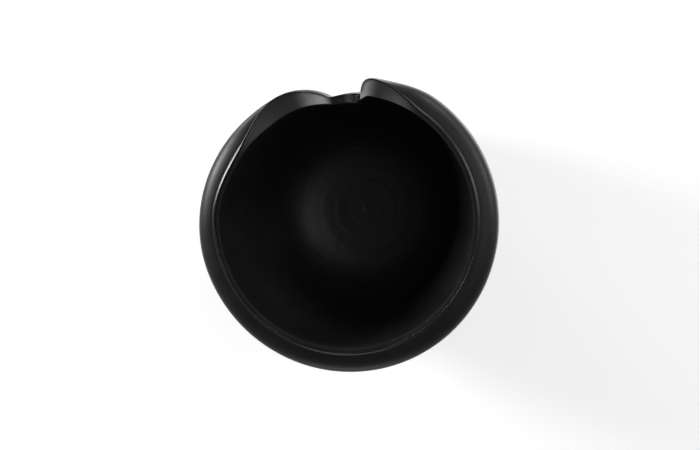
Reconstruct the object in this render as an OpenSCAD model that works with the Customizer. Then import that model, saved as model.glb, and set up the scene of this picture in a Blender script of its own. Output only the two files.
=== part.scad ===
// Hair color bowl: a ball-shaped casing around a deep mixing bowl, with a brush rest in its rim.
// Origin: centre of the foot, on the surface that the bowl stands on. +Z is up and the brush rest faces +Y.
// Angles run anticlockwise from +X, seen from above.

/* [Casing] */
// Greatest radius of the casing
body_r = 68.5; // [66:0.5:72]
// Height of the rim above the table
rim_z = 75; // [72:0.5:80]
// Height of the widest ring
equator_z = 69; // [67:0.5:69]
// Outer radius of the rim bead
rim_r = 60.9; // [60.8:0.1:61.5]
// How far the mouth's centre lies toward the brush rest
mouth_shift = 0.9; // [0:0.1:1]
// Wall thickness of the casing
shell_wall = 1.5; // [1.3:0.1:1.5]
// How far the rim bead stands above the shoulder
bead_h = 0.6; // [0.4:0.1:0.8]

/* [Mixing bowl] */
// Radius of the cavity below the lip
cavity_r = 57.7; // [57:0.1:57.7]
// Wall thickness of the mixing bowl
bowl_wall = 1.5; // [1.3:0.1:1.5]
// Height of the cavity floor above the table
floor_z = 6.5; // [6.5:0.5:8]
// Radius of the flat cavity floor
floor_r = 25; // [20:1:28]

/* [Brush rest] */
// Depth of the notch below the rim
notch_depth = 12.5; // [9:0.5:13]
// Outer radius of the casing at the notch
notch_r = 57.8; // [57.8:0.1:58.5]
// Outer radius of the right wing
right_wing_r = 65.8; // [65:0.1:66.2]
// Outer radius of the left wing
left_wing_r = 64.6; // [64:0.1:65]
// Width of the wiping rib
rib_w = 1.7; // [1.2:0.1:2]
// Height of the wiping rib
rib_h = 1.4; // [0.8:0.1:2]

/* [Foot] */
// Outer radius of the rigid foot
foot_r = 36; // [34:1:40]
// Height of the rigid foot's underside above the table
foot_z = 1; // [0.6:0.1:1.4]
// Width of the rubber ring
ring_w = 5.4; // [4:0.2:6]

/* [Hidden] */

gap = 0.1;                      // bond line between the casing and the mixing bowl
lip_sink = 0.5;                 // the mixing bowl's lip lies this far below the bead
flange_t = 1.4;                 // thickness of the wings
wing_slope = 0.38;              // fall of a wing toward the cavity, per unit of its width
wing_tray = 2.5;                // depth of the casing's tray under a wing
right_drop = 4;                 // the right wing lies this far below the rim
left_drop = 3.5;
notch_rise = 2.2;               // the notch's floor rises this much toward the wiping rib
notch_inset = 1.3;              // the casing is this much narrower at the notch's low end
notch_press = 5.3;              // the mixing bowl is this much narrower at the notch
right_press = 1;                // this much at the right wing
left_press = 3;                 // and this much at the left wing
pinch_depth = 2.4;              // the mouth is pinched in this much where the left wing ends
right_trim = 2.6;               // the casing is this much narrower beside the right wing
left_trim = 3.7;                // and this much beside the left wing
edge_to_widest = 5;             // from the bead down to the widest place, where the rim is sculpted
groove_depth = 2;
ring_r = foot_r - 1.8;          // outer radius of the rubber ring's groove
shell_low = foot_z + 3;         // where the foot meets the round body
base_top = foot_z + 3.5;        // inside of the casing's base
cavity_z = rim_z - 7;           // above this height the cavity's wall is upright

// Where the sculpted side starts and ends, in degrees
right_start = 55;               // the bead leaves the rim
right_full = 79;                // the right wing reaches its full width
tip_start = 78.4;               // the right wing's corner starts to round off
round_start = 81.8;             // its end starts to round over
tip_end = 84.25;                // the right wing's end face
fillet_start = 84.16;           // the end face turns into the notch's floor
fillet_end = 84.7;
press_start = 80;               // the cavity starts to narrow for the notch
rib_at = 85.6;                  // middle of the wiping rib
rise_end = 88;                  // the notch's floor has risen to the rib
rise_start = 93;
press_full = 87.5;              // the cavity has its notch radius
floor_end = 98.5;               // the notch's floor starts to rise to the left wing
notch_end = 99.5;               // the left wing starts to widen
left_top = 117;                 // the left wing is at its full height
left_full = 121;                // the left wing reaches its full width
left_fade = 119;                // the left wing starts to narrow
pinch_start = 122;              // the mouth starts to be pinched in
press_fade = 124;               // the cavity starts to widen again
left_end = 144;                 // the left wing is back at the rim
pinch_full = 146;
pinch_fade = 150;
sculpt_end = 156;               // the rim is level again
pinch_end = 180;                // the mouth is round again
trim_end = 200;                 // the casing is round again
rib_half = rib_w / 2 / (notch_r * PI / 180);

// Columns of the shells: close together where the rim is sculpted
angles = concat(
    [for (a = right_start; a < tip_start; a = a + 2.75) a],
    [for (a = tip_start; a < rise_end; a = a + 0.45) a],
    [for (a = rise_end; a < sculpt_end; a = a + 2.45) a],
    [for (a = sculpt_end + 2; a < 360 + right_start - 4; a = a + 6.35) a]);

// 0 to 1 with a soft start and end
function ease(x) = let (c = min(1, max(0, x))) c * c * (3 - 2 * c);
function between(a, from, to) = ease((a - from) / (to - from));
function mix(p, q, t) = p + (q - p) * t;

// Share of each feature at angle a, from 0 to 1
function tip_corner(a) = pow(1 - pow(max(0, a - tip_start) / (tip_end - tip_start), 3), 1 / 3);
function tip(a) = a < fillet_start ? tip_corner(a)
                : tip_corner(fillet_start) * pow(max(0, fillet_end - a) / (fillet_end - fillet_start), 2);
function tip_height(a) =
    a < tip_end ? 0.5 + 0.5 * sqrt(1 - pow(max(0, a - round_start) / (tip_end - round_start), 2))
                : 0.5 * pow(max(0, fillet_end - a) / (fillet_end - tip_end), 2);
function right_wing(a) = between(a, right_start, right_full) * tip(a);
function left_out(a) = ease(pow(max(0, a - notch_end) / (left_full - notch_end), 0.52));
function left_wing(a) = left_out(a) * (1 - between(a, left_fade, left_end));
function left_slope(a) = left_out(a) * (1 - between(a, left_fade, sculpt_end));
function notch(a) = (1 - tip(a)) * (1 - left_out(a));
function pinch(a) =
    pinch_depth * between(a, pinch_start, pinch_full) * (1 - between(a, pinch_fade, pinch_end));
function sunk(a) = (1 - tip_height(a)) * ease(pow(max(0, (left_top - a) / (left_top - floor_end)), 1.35));

// The bead: outer radius and height round the bowl
function shift(a) = mouth_shift * sin(a);
function notch_r_at(a) = notch_r - notch_inset * between(a, rise_end, notch_end);
function edge_r(a) =
    let (round_r = rim_r + shift(a))
    round_r + (right_wing_r - round_r) * right_wing(a) + (left_wing_r - round_r) * left_wing(a)
            + (notch_r_at(a) - round_r) * notch(a) - pinch(a);
function edge_z(a) =
    rim_z - right_drop * between(a, right_start, right_full) * tip_height(a)
          - left_drop * left_slope(a) * (1 - sunk(a))
          - (notch_depth - notch_rise * (1 - between(a, rise_end, rise_start))) * sunk(a);

// The casing's greatest radius: trimmed beside the wings and pressed in below the notch
function trim(a) =
    right_trim * between(a, right_start, tip_start) * (1 - between(a, tip_start, left_full))
    + left_trim * between(a, tip_start, left_full) * (1 - between(a, left_fade, trim_end));
function widest_r(a) = mix(body_r - trim(a), notch_r_at(a), (1 - tip(a)) * (1 - left_out(a)));
function widest_z(a) = min(equator_z, edge_z(a) - edge_to_widest);

// Round lower body at share u of its height: an ellipse less the trim, which fades downwards
body_b = (equator_z - shell_low) / sqrt(1 - pow((foot_r + 1.5) / body_r, 2));
function body_r_at(a, u) = body_r * sqrt(1 - pow((equator_z - shell_low) * (1 - u) / body_b, 2))
                         - (body_r - widest_r(a)) * ease(1.25 * u);

// The mixing bowl: a half ellipse under a short upright wall, pressed in at the brush rest
cavity_b = (cavity_z - floor_z) / sqrt(1 - pow(floor_r / cavity_r, 2));
function press(a) =
    let (past_wing = between(a, press_start, press_full))
    right_press * between(a, right_start, right_full) * (1 - past_wing)
    + notch_press * past_wing * (1 - left_out(a))
    + left_press * left_out(a) * (1 - between(a, press_fade, pinch_full)) + pinch(a);
function cavity_r_at(a, z) = (cavity_r + shift(a)) * sqrt(1 - pow(max(0, cavity_z - z) / cavity_b, 2))
                           - press(a) * ease((z - 10) / 40);
function rib(a) = rib_h * (1 - ease((abs(a - rib_at) / rib_half - 0.5) / 0.8));
function flange_r(a) = edge_r(a) - shell_wall - gap;
function lip_r(a) = cavity_r + shift(a) - press(a);
function lip_z(a) = edge_z(a) - lip_sink - wing_slope * max(0, flange_r(a) - lip_r(a) - bowl_wall);

// Profiles, as [radius, height] from the axis under the piece, up its outside, and back down its inside
body_steps = 8;
shoulder_steps = 4;
cavity_steps = 9;
function shoulder_point(r0, z0, r1, z1, i) =
    let (t = 90 * i / shoulder_steps) [mix(r0, r1, sin(t)), mix(z1, z0, cos(t))];
function shell_profile(a) =
    let (r = edge_r(a), z = edge_z(a), wide = widest_r(a), top = widest_z(a),
         drop = mix(bead_h, wing_tray + shell_wall, max(left_wing(a), notch(a))))
    concat(
        [[0, foot_z], [ring_r - ring_w, foot_z], [ring_r - ring_w, foot_z + groove_depth],
         [ring_r, foot_z + groove_depth], [ring_r, foot_z], [foot_r, foot_z]],
        [for (i = [0 : body_steps - 1]) let (u = i / body_steps)
            [body_r_at(a, u), mix(shell_low, top, u)]],
        [for (i = [shoulder_steps : -1 : 0]) shoulder_point(r, z - drop, wide, top, i)],
        [[r, z], [r - shell_wall, z]],
        [for (i = [0 : shoulder_steps])
            shoulder_point(r - shell_wall, z - wing_tray - 0.3, wide - shell_wall, top - 1, i)],
        [for (i = [body_steps - 1 : -1 : 1]) let (u = i / body_steps)
            [body_r_at(a, u) - shell_wall, mix(base_top, top - 1, u)]],
        [[foot_r - 1.5, base_top], [0, base_top]]);
function bowl_profile(a) =
    let (r = flange_r(a), z = edge_z(a) - lip_sink, c = lip_r(a), lip = lip_z(a), low = floor_z + 0.6)
    concat(
        [[0, floor_z - bowl_wall], [floor_r, floor_z - bowl_wall]],
        [for (i = [0 : cavity_steps]) let (h = mix(low, lip - flange_t, sin(90 * i / cavity_steps)))
            [cavity_r_at(a, h) + bowl_wall, h - 0.2]],
        [[r, z - flange_t], [r, z + rib(a) / 2], [mix(r, c, 0.5), mix(z, lip, 0.5) + rib(a)],
         [c + 0.3, lip + rib(a) / 2]],
        [for (i = [cavity_steps : -1 : 0]) let (h = mix(low, lip - 0.3, sin(90 * i / cavity_steps)))
            [cavity_r_at(a, h), h]],
        [[floor_r - 1.5, floor_z], [0, floor_z]]);

// A closed solid swept round the Z axis through the columns, its section changing with the angle
module swept(profiles) {
    columns = len(profiles);
    rows = len(profiles[0]) - 2;
    points = concat(
        [for (c = [0 : columns - 1]) for (i = [1 : rows]) let (p = profiles[c][i])
            [p[0] * cos(angles[c]), p[0] * sin(angles[c]), p[1]]],
        [[0, 0, profiles[0][0][1]], [0, 0, profiles[0][rows + 1][1]]]);
    bottom = columns * rows;
    faces = [for (c = [0 : columns - 1]) let (here = c * rows, next = ((c + 1) % columns) * rows)
        each concat(
            [[bottom, here, next], [bottom + 1, next + rows - 1, here + rows - 1]],
            [for (i = [0 : rows - 2]) [here + i, here + i + 1, next + i]],
            [for (i = [0 : rows - 2]) [here + i + 1, next + i + 1, next + i]])];
    polyhedron(points, faces);
}

module outer_shell() {
    color("#1b1b1c") swept([for (a = angles) shell_profile(a)]);
}

module inner_bowl() {
    color("#0e0e0f") swept([for (a = angles) bowl_profile(a)]);
}

// Rubber ring: pressed into the foot's groove, with a rounded tread
module foot_ring() {
    inner = ring_r - ring_w + gap;
    color("#2a2a2c")
        rotate_extrude($fn = 96)
            polygon([[inner, foot_z + groove_depth - gap], [inner, 0.6], [inner + 0.6, 0],
                     [ring_r - gap - 0.6, 0], [ring_r - gap, 0.6],
                     [ring_r - gap, foot_z + groove_depth - gap]]);
}

outer_shell();
inner_bowl();
foot_ring();
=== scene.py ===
"""Hair color bowl: a satin black ball-shaped casing, the mixing bowl inside it and a rubber foot ring.

Shapes are worked out in millimetres round the bowl's axis, as [radius, height] profiles that change with
the angle, and become metres when a mesh is made. Angles are in degrees, anticlockwise from +X. The brush
rest faces +Y, and the wings on its two sides are named right (+X) and left (-X), as seen from above.
"""
import math

import bmesh
import bpy
from mathutils import Matrix, Vector


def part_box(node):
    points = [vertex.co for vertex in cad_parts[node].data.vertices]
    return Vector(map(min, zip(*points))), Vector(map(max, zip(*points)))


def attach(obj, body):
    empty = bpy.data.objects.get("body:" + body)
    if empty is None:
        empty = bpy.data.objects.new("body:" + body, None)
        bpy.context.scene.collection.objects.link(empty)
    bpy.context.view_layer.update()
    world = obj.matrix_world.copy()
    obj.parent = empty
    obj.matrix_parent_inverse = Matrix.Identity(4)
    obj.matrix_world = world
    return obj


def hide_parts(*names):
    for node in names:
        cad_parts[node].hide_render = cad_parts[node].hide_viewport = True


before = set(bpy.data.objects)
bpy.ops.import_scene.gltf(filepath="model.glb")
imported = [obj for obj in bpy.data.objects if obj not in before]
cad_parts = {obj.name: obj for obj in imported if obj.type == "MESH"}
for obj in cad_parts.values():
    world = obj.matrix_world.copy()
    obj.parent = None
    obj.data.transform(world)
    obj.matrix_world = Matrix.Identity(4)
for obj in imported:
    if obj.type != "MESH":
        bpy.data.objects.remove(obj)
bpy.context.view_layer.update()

MM = 0.001


def box_mm(node):
    """A CAD node's lowest and highest corners, in millimetres."""
    low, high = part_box(node)
    return low / MM, high / MM


shell_low, shell_high = box_mm("outer_shell")
ring_high = box_mm("foot_ring")[1]
bowl_low = box_mm("inner_bowl")[0]

# Sizes that come from the frame
BODY_R = -shell_low.y
RIM_Z = shell_high.z
FOOT_Z = shell_low.z
RING_R = ring_high.x
RING_TOP = ring_high.z
BOWL_BOTTOM = bowl_low.z

GAP = 0.1                       # clearance between two pieces

# Casing
EQUATOR_Z = RIM_Z - 6           # height of the widest ring
RIM_R = 60.9                    # the bead's outer radius
MOUTH_SHIFT = 0.9               # the mouth's centre lies this far toward the brush rest
SHELL_WALL = 1.5
BASE_WALL = 3.5                 # thickness of the casing's base
COLLAR_H = 2.8                  # height of the upright wall inside the bead
SHOULDER_START = 20             # how steeply the shoulder leaves the bead, in degrees
CROWN_SINK = 1                  # the shoulder's inside is widest this far below its outside
BEAD_H = 0.7                    # the bead stands this far above the shoulder
BEAD_W = 1.5
BEAD_REST_W = 0.5               # the bead is this wide round the brush rest
BEAD_FADE = 4                   # the bead starts to widen again this many degrees before LEFT_END
BEAD_BEVEL = 0.65               # share of the bead's width that slopes outward
BEVEL_FALL = 0.68               # fall of that slope, per unit of its width
BEAD_STEP = 0.35                # level step at the bead's foot, per unit of width beyond BEAD_REST_W
BEAD_ROUND = 0.5                # rounding of the bead's inner edge
FOOT_R = 36
FOOT_FLARE = 1.5                # the round body is this much wider than the foot where they meet
FOOT_TOP = FOOT_Z + 3           # where the foot meets the round body
RING_W = 5.2                    # width of the rubber ring

# Mixing bowl
CAVITY_R = 57.7
BOWL_WALL = 1.5
FLOOR_WALL = 1.3                # thickness of the bowl's floor
FLANGE_H = 1.4                  # height of the lip's edge beside the bead
LIP_SINK = 0.5                  # the lip lies this far below the bead
LIP_ROUND = 1.3
FLOOR_SOFT = 3.2                # how softly the wall runs into the floor
CAVITY_Z = RIM_Z - 7            # above this height the cavity's wall is upright
FLOOR_Z = BOWL_BOTTOM + BOWL_WALL
FLOOR_R = 25                    # radius where the wall would meet a sharp-cornered floor
WING_SLOPE = 0.38               # fall of a wing toward the cavity, per unit of its width
WING_DISH = 0.05                # hollow of a wing, per unit of its width
PRESS_LOW = 10                  # the cavity's wall is pressed in above this height
PRESS_SPAN = 40                 # and fully this much higher
MARK_RADII = (9, 16.5, 23)      # low turning rings that the mould leaves on the floor
MARK_H = 0.16
MARK_W = 0.9

# Brush rest: depths below the rim and radii of the casing's edge
NOTCH_DEPTH = 12.5
NOTCH_RISE = 2.2                # the notch's floor rises this much toward the wiping rib
NOTCH_R = 57.8
NOTCH_INSET = 1.3               # the casing is this much narrower at the notch's low end
NOTCH_PRESS = 5.3               # the mixing bowl is this much narrower at the notch
RIGHT_WING_R = 65.8
RIGHT_DROP = 4
RIGHT_PRESS = 1                 # the mixing bowl is this much narrower at the right wing
LEFT_WING_R = 64.6
LEFT_DROP = 3.5
LEFT_PRESS = 3                  # and this much at the left wing
LEFT_LEAD = 0.52                # below 1, the left wing widens early
LEFT_SAG = 1.35                 # above 1, the left slope is shallow at first and steep near the notch
PINCH = 2.4                     # the mouth is pinched in this much where the left wing ends
RIGHT_TRIM = 2.6                # the casing is this much narrower beside the right wing
LEFT_TRIM = 3.7                 # and this much beside the left wing
WING_EDGE = 4                   # height of the casing's edge round the left wing and the notch
EDGE_TO_WIDEST = 5              # the widest ring is at least this far below the casing's edge
RIB_H = 1.4
RIB_HALF_W = 0.85
RIB_CREST = 0.55                # share of that half width where the rib's crest is flat
RIB_SIDE = 0.6                  # share of it that the rib's side takes to fall
RIB_FADE = 0.2                  # share of the wing's width where the rib fades out

# The angles where each feature starts and ends, anticlockwise round the mouth
RIGHT_START = 55
TIP_START = 78.4                # the right wing's end turns inward
RIGHT_FULL = 79
ROUND_START = 80                # that end is rounded over from here to TIP_END
PRESS_START = 80                # the cavity narrows from here
FILLET_START = 84.16
TIP_END = 84.25
FILLET_END = 84.7
RIB_AT = 85.6
PRESS_FULL = 87.5
RISE_END = 88                   # the notch's floor is level again
RISE_START = 93
FLOOR_END = 98.5                # the notch's floor starts to rise to the left wing
NOTCH_END = 99.5                # the left wing starts
LEFT_TOP = 117                  # the left wing is at its full height
LEFT_FADE = 119
LEFT_FULL = 121
PINCH_START = 122
PRESS_FADE = 124
LEFT_END = 144
PINCH_FULL = 146
PINCH_FADE = 150
SCULPT_END = 156                # the rim is level again
PINCH_END = 180
TRIM_END = 200                  # the casing is round again

# Meshes: rows of points along each stretch of a profile, and the steps between columns
BODY_ROWS = 44
SHOULDER_ROWS = 18
CROWN_ROWS = 4
INSIDE_ROWS = 14
CAVITY_ROWS = 56
WING_ROWS = 9
COLUMN_STEP = 0.9               # widest angle between two columns
RIB_STEP = 0.11                 # angle between columns across the rib
RIB_REACH = 2                   # half the angle that has those
EDGE_STEP = 0.5                 # longest stretch of the bead's line between two columns
LAST_COLUMN = 359.6             # all columns are before this angle

# Looks: linear greys of each finish, and its roughness
CASING_GREYS = ((0.003, 0.003, 0.003), (0.005, 0.0049, 0.0047))
CASING_ROUGH = 0.42
# The bead's grey is lighter than the casing's as a painted highlight; its low roughness is its polish.
BEAD_HIGHLIGHT_GREY = (0.01, 0.01, 0.01)
BEAD_ROUGH = 0.2
BOWL_GREYS = ((0.006, 0.006, 0.006), (0.0085, 0.0085, 0.0085))
BOWL_ROUGH = 0.44
# Pale grey on the bowl's wings: a little wear and painted sheen over them, and a painted highlight at their
# ends.
WEAR_AND_HIGHLIGHT_GREY = (0.5, 0.5, 0.5)
WEAR_AND_HIGHLIGHT_ROUGH = 0.5
WING_WEAR_AND_PAINTED_SHEEN = 0.065               # share of wear and painted sheen all over the wings
END_PAINTED_HIGHLIGHT = 0.935                # and the painted highlight that their ends have beside that
RUBBER_GREYS = ((0.016, 0.016, 0.017), (0.042, 0.041, 0.040))
TABLE_GREYS = ((0.86, 0.86, 0.86), (0.9, 0.9, 0.9))
TABLE_GLOW = 0.55

# Studio, in metres and degrees. ROOM is its grey from straight down, 0, to straight up, 1.
ROOM = ((0, 1.4), (0.15, 1.2), (0.3, 0.7), (0.5, 0.36), (0.66, 0.24), (0.8, 0.07), (1, 0.05))
FRONT_STRENGTH = 0.9            # the room's strength toward -Y
BACK_STRENGTH = 1.5             # and toward +Y
TABLE_HALF = 3.0
CAMERA_LENS = 125.5
CAMERA_DISTANCE = 1.1
CAMERA_LEAN = (8.5, 6)          # toward the right and toward the back
CAMERA_AIM = (0.0014, -0.0014)


def ease(x):
    """0 to 1 with a soft start and end."""
    c = min(1.0, max(0.0, x))
    return c * c * (3 - 2 * c)


def between(a, start, end):
    return ease((a - start) / (end - start))


def mix(p, q, t):
    return p + (q - p) * t


# Share of each feature at angle a, from 0 to 1

def tip_corner(a):
    return max(0.0, 1 - (max(0.0, a - TIP_START) / (TIP_END - TIP_START)) ** 3) ** (1 / 3)


def tip(a):
    """The right wing's rounded end: a corner, a steep end face and a fillet into the notch."""
    if a < FILLET_START:
        return tip_corner(a)
    return tip_corner(FILLET_START) * (max(0.0, FILLET_END - a) / (FILLET_END - FILLET_START)) ** 2


def tip_height(a):
    """The right wing's end seen from the side: rounded over down to its middle, then a fillet."""
    if a < TIP_END:
        turn = max(0.0, a - ROUND_START) / (TIP_END - ROUND_START)
        return 0.5 + 0.5 * math.sqrt(1 - turn * turn)
    return 0.5 * (max(0.0, FILLET_END - a) / (FILLET_END - TIP_END)) ** 2


def right_wing(a):
    return between(a, RIGHT_START, RIGHT_FULL) * tip(a)


def left_out(a):
    """The left wing's outline: quick to leave the notch and slow to reach its full width."""
    return ease(max(0.0, (a - NOTCH_END) / (LEFT_FULL - NOTCH_END)) ** LEFT_LEAD)


def left_wing(a):
    return left_out(a) * (1 - between(a, LEFT_FADE, LEFT_END))


def left_slope(a):
    return left_out(a) * (1 - between(a, LEFT_FADE, SCULPT_END))


def pinch(a):
    return PINCH * between(a, PINCH_START, PINCH_FULL) * (1 - between(a, PINCH_FADE, PINCH_END))


def notch(a):
    return (1 - tip(a)) * (1 - left_out(a))


def sunk(a):
    """Share of the notch's depth: steep at the right wing's end, with a long slope up to the left wing."""
    ahead = max(0.0, (LEFT_TOP - a) / (LEFT_TOP - FLOOR_END))
    return (1 - tip_height(a)) * ease(ahead ** LEFT_SAG)


# The bead's outer radius and height round the bowl

def mouth_offset(a):
    return MOUTH_SHIFT * math.sin(math.radians(a))


def notch_r(a):
    return NOTCH_R - NOTCH_INSET * between(a, RISE_END, NOTCH_END)


def edge_r(a):
    plain = RIM_R + mouth_offset(a)
    return (plain + (RIGHT_WING_R - plain) * right_wing(a) + (LEFT_WING_R - plain) * left_wing(a)
            + (notch_r(a) - plain) * notch(a) - pinch(a))


def edge_z(a):
    depth = NOTCH_DEPTH - NOTCH_RISE * (1 - between(a, RISE_END, RISE_START))
    right = RIGHT_DROP * between(a, RIGHT_START, RIGHT_FULL) * tip_height(a)
    return RIM_Z - right - LEFT_DROP * left_slope(a) * (1 - sunk(a)) - depth * sunk(a)


def bead_w(a):
    left = left_out(a) * (1 - between(a, LEFT_END - BEAD_FADE, PINCH_FADE))
    return mix(BEAD_W, BEAD_REST_W, max(right_wing(a), left, notch(a)))


# The casing's body: trimmed beside the wings and pressed in below the notch

def widest_r(a, wing_end):
    """Radius of the widest ring at angle a. wing_end is the right wing's share there."""
    right = RIGHT_TRIM * between(a, RIGHT_START, TIP_START) * (1 - between(a, TIP_START, LEFT_FULL))
    left = LEFT_TRIM * between(a, TIP_START, LEFT_FULL) * (1 - between(a, LEFT_FADE, TRIM_END))
    pressed = (1 - wing_end) * (1 - left_out(a))
    return mix(BODY_R - right - left, notch_r(a), pressed)


def widest_z(a):
    return min(EQUATOR_Z, edge_z(a) - EDGE_TO_WIDEST)


BODY_B = (EQUATOR_Z - FOOT_TOP) / math.sqrt(1 - ((FOOT_R + FOOT_FLARE) / BODY_R) ** 2)


def body_r(a, u):
    """Radius of the round body at share u of its height: an ellipse less the trims and the recess below the
    notch, which fade and soften downwards.
    """
    soft_end = 1 - between(a, TIP_START, RISE_START)
    wing_end = mix(soft_end, tip(a), ease(2 * u - 1))
    ball = BODY_R * math.sqrt(1 - ((EQUATOR_Z - FOOT_TOP) * (1 - u) / BODY_B) ** 2)
    return ball - (BODY_R - widest_r(a, wing_end)) * ease(1.25 * u)


# The mixing bowl

CAVITY_B = (CAVITY_Z - FLOOR_Z) / math.sqrt(1 - (FLOOR_R / CAVITY_R) ** 2)


def soft_floor(z):
    """Height z, but never below the floor, which it reaches softly."""
    return FLOOR_Z + FLOOR_SOFT * math.log1p(math.exp((z - FLOOR_Z) / FLOOR_SOFT))


def press(a):
    past_wing = between(a, PRESS_START, PRESS_FULL)
    right = RIGHT_PRESS * between(a, RIGHT_START, RIGHT_FULL) * (1 - past_wing)
    left = LEFT_PRESS * left_out(a) * (1 - between(a, PRESS_FADE, PINCH_FULL)) + pinch(a)
    return right + NOTCH_PRESS * past_wing * (1 - left_out(a)) + left


def cavity_r(a, z):
    bowl = (CAVITY_R + mouth_offset(a)) * math.sqrt(1 - (max(0.0, CAVITY_Z - z) / CAVITY_B) ** 2)
    return bowl - press(a) * ease((z - PRESS_LOW) / PRESS_SPAN)


def flange_r(a):
    return edge_r(a) - bead_w(a) - GAP


def lip_r(a):
    return CAVITY_R + mouth_offset(a) - press(a)


def wing_width(a):
    return max(0.0, flange_r(a) - lip_r(a) - BOWL_WALL)


def lip_z(a):
    return edge_z(a) - LIP_SINK - WING_SLOPE * wing_width(a)


def rib(a):
    """Height of the wiping rib: a flat crest with steep rounded sides."""
    away = abs(a - RIB_AT) * math.radians(NOTCH_R) / RIB_HALF_W
    return RIB_H * (1 - ease((away - RIB_CREST) / RIB_SIDE))


# Profiles

def rounded(corners, steps=5):
    """A profile from (radius, height, rounding) corners. Rounding above 0 makes a corner a short curve."""
    points = []
    for i, (r, z, rounding) in enumerate(corners):
        if not rounding:
            points.append((r, z))
            continue
        here = Vector((r, z))
        ends = []
        for near in (corners[i - 1], corners[i + 1]):
            side = Vector(near[:2]) - here
            ends.append(here + side * min(0.48, rounding / max(side.length, 1e-6)))
        for k in range(steps + 1):
            t = k / steps
            p = ends[0] * (1 - t) ** 2 + here * 2 * t * (1 - t) + ends[1] * t ** 2
            points.append((p.x, p.y))
    return points


def shoulder(r0, z0, r1, z1, rows, start=0):
    """Part of an ellipse from the widest ring (r1, z1) up to the bead's foot (r0, z0). It is level at the
    foot, or already falls there when start, in degrees, is above 0.
    """
    first = math.radians(start)
    turns = [mix(math.pi / 2, first, i / rows) for i in range(rows + 1)]
    return [(mix(r0, r1, (math.sin(t) - math.sin(first)) / (1 - math.sin(first))),
             mix(z1, z0, math.cos(t) / math.cos(first))) for t in turns]


def underside():
    """The foot from below: a recessed base with a gate mark and a step, the ring's groove, and its edge."""
    recess = FOOT_Z + 0.9
    inner = RING_R - RING_W
    return rounded([
        (0, recess - 0.5, 0), (1.1, recess - 0.5, 0.3), (1.5, recess, 0.3), (4.2, recess, 0.2),
        (4.5, recess + 0.3, 0.2), (9, recess + 0.3, 0.2), (9.3, recess, 0.2), (inner - 2.4, recess, 0.5),
        (inner - 1.6, FOOT_Z, 0.4), (inner - GAP, FOOT_Z, 0.15), (inner - GAP, RING_TOP + GAP, 0),
        (RING_R + GAP, RING_TOP + GAP, 0), (RING_R + GAP, FOOT_Z, 0.15), (FOOT_R - 0.2, FOOT_Z, 0.5),
        (FOOT_R + 0.1, FOOT_Z + 1.6, 0.6), (FOOT_R + 0.9, FOOT_TOP - 0.5, 0)], 3)


def shell_profile(a):
    """The casing: underside, round body, shoulder, bead, and back down inside to the base."""
    r, z, wide, top = edge_r(a), edge_z(a), widest_r(a, tip(a)), widest_z(a)
    drop = mix(BEAD_H, WING_EDGE, max(left_wing(a), notch(a)))
    width = bead_w(a)
    foot = r + BEAD_STEP * (width - BEAD_REST_W)
    crown, collar, base_top = top - CROWN_SINK, z - COLLAR_H, FOOT_Z + BASE_WALL
    body = [(body_r(a, i / BODY_ROWS), mix(FOOT_TOP, top, i / BODY_ROWS)) for i in range(BODY_ROWS)]
    outside = shoulder(foot, z - drop, wide, top, SHOULDER_ROWS, SHOULDER_START)
    bead = rounded([
        (foot, z - drop, 0), (r, z - drop, 0.1), (r, z - BEVEL_FALL * BEAD_BEVEL * width, 0.12),
        (r - BEAD_BEVEL * width, z, 0.25), (r - width, z, BEAD_ROUND), (r - width, collar, 0)])
    inside = shoulder(r - width, collar, wide - SHELL_WALL, crown, CROWN_ROWS)[::-1]
    shares = [i / INSIDE_ROWS for i in range(INSIDE_ROWS - 1, 0, -1)]
    lining = [(body_r(a, u) - SHELL_WALL, mix(base_top, crown, u)) for u in shares]
    base = [(FOOT_R - SHELL_WALL, base_top), (0, base_top)]
    return underside() + body + outside[:-1] + bead + inside[1:] + lining + base


def floor_marks(r):
    """Height of the turning rings at radius r."""
    return sum(MARK_H * math.exp(-((r - middle) / MARK_W) ** 2) for middle in MARK_RADII)


def wing_points(a):
    """Corners across a wing, from the bead to the cavity, where the rib fades out."""
    points = []
    for i in range(1, WING_ROWS):
        s = i / WING_ROWS
        dish = 4 * s * (1 - s) * WING_DISH * wing_width(a)
        rise = rib(a) * (1 - ease((s - 1 + RIB_FADE) / RIB_FADE))
        height = mix(edge_z(a) - LIP_SINK, lip_z(a), s) - dish + rise
        points.append((mix(flange_r(a), lip_r(a), s), height, 0))
    return points


def bowl_profile(a):
    """The mixing bowl: its outside from the bottom up, the lip, and the cavity down to the floor."""
    r, z, c, lip = flange_r(a), edge_z(a) - LIP_SINK, lip_r(a), lip_z(a)
    wall_top = lip - LIP_ROUND
    steepest = math.acos((CAVITY_Z - wall_top) / CAVITY_B) if wall_top < CAVITY_Z else math.pi / 2
    turns = [steepest * i / CAVITY_ROWS for i in range(1, CAVITY_ROWS + 1)]
    heights = [CAVITY_Z - CAVITY_B * math.cos(t) for t in turns]
    outside = [(cavity_r(a, h) + BOWL_WALL, soft_floor(h) - FLOOR_WALL) for h in heights[::4]]
    top = rounded([(r, z - FLANGE_H, 0), (r, z + rib(a) / 2, 0.3), *wing_points(a), (c, lip, LIP_ROUND),
                   (c, lip - 2 * LIP_ROUND, 0)])[:-1]
    wall = [(cavity_r(a, h), soft_floor(h) + floor_marks(cavity_r(a, h))) for h in reversed(heights)]
    return [(0, BOWL_BOTTOM), *outside, *top, *wall, (0, FLOOR_Z)]


def ring_profile(_):
    """The rubber ring: a rounded tread with two grooves."""
    inner, outer, groove_h = RING_R - RING_W, RING_R, 0.5
    tread = [(inner, RING_TOP, 0), (inner, 0, 0.7)]
    for middle in (mix(inner, outer, 0.36), mix(inner, outer, 0.64)):
        tread += [(middle - 0.45, 0, 0.15), (middle - 0.3, groove_h, 0.15),
                  (middle + 0.3, groove_h, 0.15), (middle + 0.45, 0, 0.15)]
    return rounded([(0, RING_TOP, 0), *tread, (outer, 0, 0.7), (outer, RING_TOP, 0), (0, RING_TOP, 0)], 4)


# Making the meshes

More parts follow.
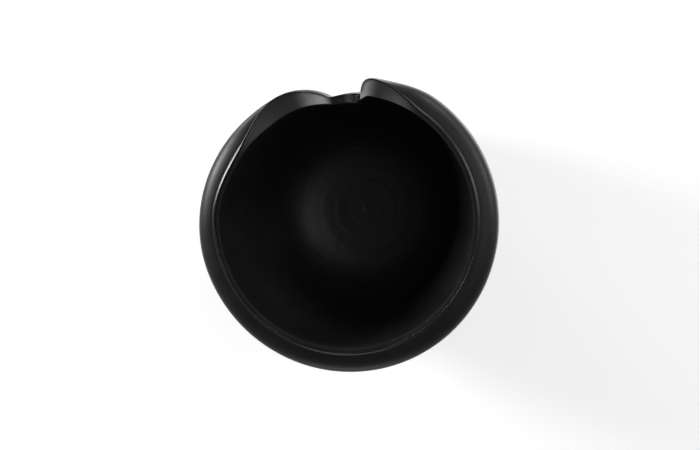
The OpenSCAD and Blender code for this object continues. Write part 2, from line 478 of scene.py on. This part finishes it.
def column_angles():
    """Angles of the mesh's columns, closer together round the rib and where the bead's line is steep."""
    probe = 0.05
    angles, a = [], 0.0
    while a < LAST_COLUMN:
        angles.append(a)
        reach = math.hypot(edge_r(a + probe) - edge_r(a), edge_z(a + probe) - edge_z(a)) / probe
        step = min(COLUMN_STEP, EDGE_STEP / max(reach, EDGE_STEP))
        a += min(step, RIB_STEP) if abs(a - RIB_AT) < RIB_REACH else step
    return angles


ANGLES = column_angles()


def swept(name, profile, closed_ring=False):
    """A smooth closed mesh through a profile's rows at every column angle."""
    columns = [profile(a) for a in ANGLES]
    mesh = bpy.data.meshes.new(name)
    made = bmesh.new()
    turned = []
    for a, column in zip(ANGLES, columns):
        c, s = math.cos(math.radians(a)), math.sin(math.radians(a))
        turned.append([made.verts.new((r * c * MM, r * s * MM, z * MM)) for r, z in column[1:-1]])
    count = len(turned)
    for i, here in enumerate(turned):
        after = turned[(i + 1) % count]
        for k in range(len(here) - 1):
            made.faces.new((here[k], after[k], after[k + 1], here[k + 1]))
    if closed_ring:
        for i, here in enumerate(turned):
            after = turned[(i + 1) % count]
            made.faces.new((here[-1], after[-1], after[0], here[0]))
    else:
        for row, (_, z) in ((0, columns[0][0]), (-1, columns[0][-1])):
            pole = made.verts.new((0, 0, z * MM))
            for i, here in enumerate(turned):
                made.faces.new((here[row], turned[(i + 1) % count][row], pole))
    bmesh.ops.recalc_face_normals(made, faces=made.faces)
    for face in made.faces:
        face.smooth = True
    made.to_mesh(mesh)
    made.free()
    piece = bpy.data.objects.new(name, mesh)
    bpy.context.scene.collection.objects.link(piece)
    return piece


def mark(piece, share):
    """Stores where the piece's second finish lies, from 0 to 1, for its material."""
    values = piece.data.attributes.new("finish", "FLOAT", "POINT")
    for point, value in zip(piece.data.vertices, values.data):
        value.value = share(point.co / MM)


# Materials

class Nodes:
    """A material's node tree with short ways to add what these finishes need."""

    def __init__(self, name):
        self.material = bpy.data.materials.new(name)
        self.material.use_nodes = True
        self.tree = self.material.node_tree
        self.tree.nodes.clear()
        self.shader = self.add("ShaderNodeBsdfPrincipled")
        output = self.add("ShaderNodeOutputMaterial")
        self.link(self.shader.outputs["BSDF"], output.inputs["Surface"])
        self.place = self.add("ShaderNodeTexCoord").outputs["Object"]

    def add(self, kind, **values):
        node = self.tree.nodes.new(kind)
        for key, value in values.items():
            setattr(node, key, value)
        return node

    def link(self, source, target):
        self.tree.links.new(source, target)

    def noise(self, scale, detail=3.0, roughness=0.5, stretch=None):
        """Noise of about 1 / scale metres. stretch scales its axes, for scratches."""
        node = self.add("ShaderNodeTexNoise")
        node.inputs["Scale"].default_value = scale
        node.inputs["Detail"].default_value = detail
        node.inputs["Roughness"].default_value = roughness
        place = self.place
        if stretch:
            mapping = self.add("ShaderNodeMapping")
            mapping.inputs["Scale"].default_value = stretch
            self.link(place, mapping.inputs["Vector"])
            place = mapping.outputs["Vector"]
        self.link(place, node.inputs["Vector"])
        return node.outputs["Fac"]

    def spread(self, value, low, high, start=0.3, end=0.7):
        """Maps start..end of a value to low..high."""
        node = self.add("ShaderNodeMapRange")
        limits = {"From Min": start, "From Max": end, "To Min": low, "To Max": high}
        for key, number in limits.items():
            node.inputs[key].default_value = number
        self.link(value, node.inputs["Value"])
        return node.outputs["Result"]

    def math(self, operation, a, b):
        node = self.add("ShaderNodeMath", operation=operation)
        for socket, value in zip(node.inputs, (a, b)):
            if isinstance(value, (int, float)):
                socket.default_value = value
            else:
                self.link(value, socket)
        return node.outputs["Value"]

    def blend(self, share, first, second):
        """Colour between first and second, each a colour or a socket."""
        node = self.add("ShaderNodeMix", data_type="RGBA")
        self.link(share, node.inputs["Factor"])
        for socket, colour in ((node.inputs["A"], first), (node.inputs["B"], second)):
            if isinstance(colour, tuple):
                socket.default_value = (*colour, 1)
            else:
                self.link(colour, socket)
        return node.outputs["Result"]

    def bump(self, height, distance, strength=1.0, under=None):
        node = self.add("ShaderNodeBump")
        node.inputs["Distance"].default_value = distance
        node.inputs["Strength"].default_value = strength
        self.link(height, node.inputs["Height"])
        if under:
            self.link(under, node.inputs["Normal"])
        return node.outputs["Normal"]

    def rings(self, pitch, distortion):
        """Rings round the Z axis, pitch metres apart."""
        node = self.add("ShaderNodeTexWave", wave_type="RINGS", rings_direction="Z")
        node.inputs["Scale"].default_value = 2 * math.pi / (20 * pitch)
        node.inputs["Distortion"].default_value = distortion
        node.inputs["Detail"].default_value = 2
        node.inputs["Detail Scale"].default_value = 0.6
        self.link(self.place, node.inputs["Vector"])
        return node.outputs["Fac"]


def satin_plastic(name, greys, rough, marked, marked_rough, turned=False):
    """Moulded satin plastic: soft mottling, a fine grain and handling scratches. The finish attribute
    brings in the marked colour, partly a painted highlight here, and roughness. turned adds the faint
    turning rings of the mould.
    """
    nodes = Nodes(name)
    finish = nodes.add("ShaderNodeAttribute", attribute_name="finish").outputs["Fac"]
    share = nodes.math("MULTIPLY", finish, nodes.spread(nodes.noise(240, 4, 0.65), 0.75, 1))
    body = nodes.blend(nodes.spread(nodes.noise(38, 3), 0, 1), *greys)
    nodes.link(nodes.blend(share, body, marked), nodes.shader.inputs["Base Color"])

    mottle = nodes.spread(nodes.noise(70, 4, 0.6), -0.04, 0.04)
    scratches = nodes.spread(nodes.noise(420, 2, 0.5, (1, 0.05, 0.4)), 0, 0.06, 0.62, 0.7)
    change = nodes.math("MULTIPLY", share, marked_rough - rough)
    uneven = nodes.math("ADD", mottle, scratches)
    roughness = nodes.math("ADD", uneven, nodes.math("ADD", change, rough))
    nodes.link(roughness, nodes.shader.inputs["Roughness"])

    grain = nodes.bump(nodes.noise(3200, 2), 0.00001, 0.1 if turned else 0.35)
    waves = nodes.bump(nodes.noise(45, 2), 0.0004, 0.05, grain)
    if turned:
        patches = nodes.spread(nodes.noise(32, 2), 0, 1)
        patchy = nodes.math("MULTIPLY", nodes.rings(0.0034, 2.5), patches)
        waves = nodes.bump(patchy, 0.00012, 0.5, waves)
    nodes.link(waves, nodes.shader.inputs["Normal"])
    nodes.shader.inputs["IOR"].default_value = 1.5
    return nodes.material


def matte_rubber(name):
    """Rubber with a powdery bloom and a fine uneven skin."""
    nodes = Nodes(name)
    bloom = nodes.spread(nodes.noise(160, 5, 0.7), 0, 1, 0.35, 0.75)
    nodes.link(nodes.blend(bloom, *RUBBER_GREYS), nodes.shader.inputs["Base Color"])
    nodes.link(nodes.spread(bloom, 0.68, 0.88, 0, 1), nodes.shader.inputs["Roughness"])
    nodes.link(nodes.bump(nodes.noise(1800, 4, 0.6), 0.00004, 0.5), nodes.shader.inputs["Normal"])
    return nodes.material


def white_table(name):
    """Pale seamless table, a little uneven in tone, that glows like a light table."""
    nodes = Nodes(name)
    tone = nodes.spread(nodes.noise(3, 2), 0, 1)
    nodes.link(nodes.blend(tone, *TABLE_GREYS), nodes.shader.inputs["Base Color"])
    nodes.shader.inputs["Roughness"].default_value = 0.9
    nodes.shader.inputs["Emission Color"].default_value = (1, 1, 1, 1)
    nodes.shader.inputs["Emission Strength"].default_value = TABLE_GLOW
    return nodes.material


def place(piece, node, slot, material):
    piece.data.materials.append(material)
    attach(piece, "root")
    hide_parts(node)


def angle_of(point):
    return math.degrees(math.atan2(point.y, point.x)) % 360


def bead_polish_and_highlight_share(point, a):
    """Share of the bead's polish and painted highlight at a point: all of it on the bead, apart from the
    brush rest.
    """
    return ease((point.z - edge_z(a) + 0.6) / 0.4) * ease((bead_w(a) - BEAD_REST_W) / 0.5)


def make_casing():
    """Satin plastic, polished along the bead round its top, which is painted a lighter grey as a highlight.
    """
    casing = swept("casing", shell_profile)
    mark(casing, lambda p: bead_polish_and_highlight_share(p, angle_of(p)))
    plastic = satin_plastic("casing_satin_black", CASING_GREYS, CASING_ROUGH, BEAD_HIGHLIGHT_GREY, BEAD_ROUGH)
    place(casing, "outer_shell", "casing_plastic", plastic)


def lip_wear_and_highlight_share(point, a):
    """Share of the lip's pale grey at a point: a little wear and painted sheen on the wings, and most, a
    painted highlight, at their ends at the notch.
    """
    left_end = between(a, NOTCH_END - 1.5, NOTCH_END + 2) * (1 - between(a, NOTCH_END + 2, LEFT_TOP - 3))
    right_end = between(a, TIP_START - 2, TIP_END) * tip_height(a)
    wear_and_highlight = WING_WEAR_AND_PAINTED_SHEEN * ease(wing_width(a) / 3) + END_PAINTED_HIGHLIGHT * max(left_end, right_end)
    return ease((point.z - lip_z(a) + 0.8) / 0.8) * wear_and_highlight


def make_mixing_bowl():
    """Satin plastic with the mould's turning rings, pale along the lip from wear and painted sheen, and
    paler at the wings' ends from a painted highlight.
    """
    bowl = swept("mixing_bowl", bowl_profile)
    mark(bowl, lambda p: lip_wear_and_highlight_share(p, angle_of(p)))
    plastic = satin_plastic(
        "bowl_satin_black", BOWL_GREYS, BOWL_ROUGH, WEAR_AND_HIGHLIGHT_GREY, WEAR_AND_HIGHLIGHT_ROUGH, turned=True)
    place(bowl, "inner_bowl", "bowl_plastic", plastic)


def make_foot_ring():
    ring = swept("rubber_foot_ring", ring_profile, closed_ring=True)
    place(ring, "foot_ring", "foot_rubber", matte_rubber("foot_rubber_matte"))


# Studio

def make_table():
    """A square white table at the bowl's foot. Glossy plastic mirrors the room instead of it."""
    mesh = bpy.data.meshes.new("table")
    corners = [(x * TABLE_HALF, y * TABLE_HALF, 0) for x, y in ((-1, -1), (1, -1), (1, 1), (-1, 1))]
    mesh.from_pydata(corners, [], [(0, 1, 2, 3)])
    mesh.materials.append(white_table("white_table"))
    table = bpy.data.objects.new("table", mesh)
    table.visible_glossy = False
    bpy.context.scene.collection.objects.link(table)


def make_softbox(name, azimuth, elevation, distance, width, height, power):
    """An area light that faces the bowl's rim from that direction."""
    light = bpy.data.lights.new(name, "AREA")
    light.shape = "RECTANGLE"
    light.size = width
    light.size_y = height
    light.energy = power
    lamp = bpy.data.objects.new(name, light)
    a, e = math.radians(azimuth), math.radians(elevation)
    toward = Vector((math.cos(e) * math.cos(a), math.cos(e) * math.sin(a), math.sin(e)))
    lamp.location = Vector((0, 0, RIM_Z * MM)) + toward * distance
    lamp.rotation_euler = toward.to_track_quat("Z", "Y").to_euler()
    bpy.context.scene.collection.objects.link(lamp)


def make_room():
    """Light from all round: bright from below, dim overhead, and brighter at the back."""
    world = bpy.data.worlds.new("studio")
    bpy.context.scene.world = world
    world.use_nodes = True
    tree = world.node_tree
    tree.nodes.clear()
    coordinates = tree.nodes.new("ShaderNodeTexCoord")
    parts = tree.nodes.new("ShaderNodeSeparateXYZ")
    height = tree.nodes.new("ShaderNodeMapRange")
    ramp = tree.nodes.new("ShaderNodeValToRGB")
    back = tree.nodes.new("ShaderNodeMapRange")
    background = tree.nodes.new("ShaderNodeBackground")
    output = tree.nodes.new("ShaderNodeOutputWorld")
    height.inputs["From Min"].default_value = -1
    back.inputs["From Min"].default_value = -1
    back.inputs["To Min"].default_value = FRONT_STRENGTH
    back.inputs["To Max"].default_value = BACK_STRENGTH
    stops = ramp.color_ramp.elements
    while len(stops) < len(ROOM):
        stops.new(0.5)
    for stop, (at, grey) in zip(stops, ROOM):
        stop.position = at
        stop.color = (grey, grey, grey, 1)
    tree.links.new(coordinates.outputs["Generated"], parts.inputs["Vector"])
    tree.links.new(parts.outputs["Z"], height.inputs["Value"])
    tree.links.new(height.outputs["Result"], ramp.inputs["Fac"])
    tree.links.new(ramp.outputs["Color"], background.inputs["Color"])
    tree.links.new(parts.outputs["Y"], back.inputs["Value"])
    tree.links.new(back.outputs["Result"], background.inputs["Strength"])
    tree.links.new(background.outputs["Background"], output.inputs["Surface"])


def make_camera():
    """Looks almost straight down with +Y up, from a little toward the right and the back."""
    camera_data = bpy.data.cameras.new("camera")
    camera_data.lens = CAMERA_LENS
    camera = bpy.data.objects.new("camera", camera_data)
    aim = Vector((*CAMERA_AIM, EQUATOR_Z * MM))
    right, back = (math.tan(math.radians(lean)) for lean in CAMERA_LEAN)
    toward = Vector((right, back, 1)).normalized()
    side = Vector((0, 1, 0)).cross(toward).normalized()
    turn = Matrix((side, toward.cross(side), toward)).transposed()
    camera.matrix_world = Matrix.Translation(aim + toward * CAMERA_DISTANCE) @ turn.to_4x4()
    bpy.context.scene.collection.objects.link(camera)
    bpy.context.scene.camera = camera


make_casing()
make_mixing_bowl()
make_foot_ring()
make_table()
make_room()
make_softbox("left_light", azimuth=160, elevation=19, distance=1.4, width=0.45, height=0.3, power=15)
make_softbox("left_window", azimuth=130, elevation=2.5, distance=1.4, width=0.4, height=0.12, power=7)
make_softbox("right_light", azimuth=18, elevation=22, distance=1.4, width=0.7, height=0.4, power=4)
make_softbox("back_light", azimuth=60, elevation=18, distance=1.4, width=0.4, height=0.25, power=3.5)
make_softbox("front_light", azimuth=264, elevation=6, distance=1.4, width=0.8, height=0.2, power=1.8)
make_softbox("high_light", azimuth=10, elevation=62, distance=1.6, width=1.1, height=1.1, power=3)
make_camera()
bpy.context.scene.view_settings.view_transform = "Standard"
